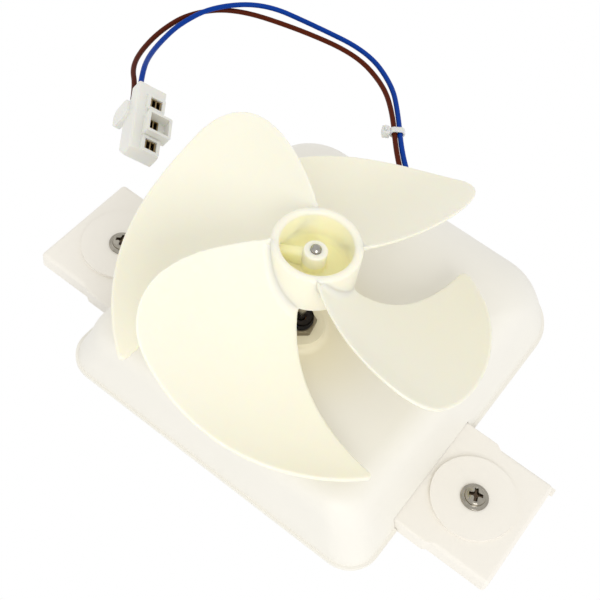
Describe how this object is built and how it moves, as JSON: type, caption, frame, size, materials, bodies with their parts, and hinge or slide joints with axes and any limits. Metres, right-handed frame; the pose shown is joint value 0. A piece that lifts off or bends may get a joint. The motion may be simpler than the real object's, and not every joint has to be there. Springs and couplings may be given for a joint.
{
  "type": "fan motor",
  "caption": "Small shaded-pole fan motor under a white cap on an eared strap, with a cream bladed fan on its shaft and two leads to a connector.",
  "frame": {"origin": "on the shaft's axis, in the plane of the strap's underside, midway between the ear screws", "axes": "+Z along the shaft towards the fan, +X along the strap towards the ear away from the leads, +Y towards the side where the leads leave"},
  "size_m": [0.2382, 0.209, 0.0802],
  "materials": {
    "bracket_plastic": "satin moulded, ivory white",
    "cap_plastic": "satin moulded, white",
    "fan_plastic": "smooth moulded, cream, slightly translucent",
    "screw_steel": "plain machine screw",
    "nut_steel": "plain, a little dull",
    "shaft_steel": "ground",
    "lamination_steel": "stamped sheets, dull",
    "cast_aluminium": "as cast",
    "cast_zinc": "die cast, dull grey",
    "bronze": "sintered, oiled",
    "brass": "stamped",
    "copper": "bare",
    "copper_wire": "enamelled winding",
    "bobbin_plastic": "moulded",
    "washer_plastic": "plain",
    "felt": "oiled felt",
    "grommet_rubber": "pale, soft",
    "lead_sleeving": "wire insulation",
    "blue_insulation": "smooth wire insulation",
    "brown_insulation": "smooth wire insulation",
    "tie_plastic": "natural nylon",
    "connector_plastic": "natural nylon, white"
  },
  "bodies": {
    "motor": {"mounting_bracket": "bracket_plastic", "motor_cap": "cap_plastic", "ear_screws": "screw_steel", "cap_screws": "screw_steel", "motor_screws": "screw_steel", "stator_core": "lamination_steel", "shading_rings": "copper", "coil_bobbin": "bobbin_plastic", "coil_winding": "copper_wire", "coil_terminals": "brass", "front_bearing_bracket": "cast_zinc", "rear_bearing_bracket": "cast_zinc", "neck_nut": "nut_steel", "front_bearing": "bronze", "rear_bearing": "bronze", "oil_felts": "felt", "thrust_disc": "washer_plastic", "lead_grommet": "grommet_rubber", "inner_leads": "lead_sleeving", "blue_lead": "blue_insulation", "brown_lead": "brown_insulation", "cable_tie": "tie_plastic", "connector_housing": "connector_plastic", "connector_terminals": "brass"},
    "rotor": {"fan_impeller": "fan_plastic", "motor_shaft": "shaft_steel", "rotor_core": "lamination_steel", "rotor_cage": "cast_aluminium", "shaft_spacers": "bronze", "thrust_washers": "washer_plastic"}
  },
  "joints": [
    {"name": "fan_spin", "type": "hinge", "parent": "motor", "child": "rotor", "pos_m": [0, 0, 0], "axis": [0, 0, 1], "continuous": true}
  ]
}
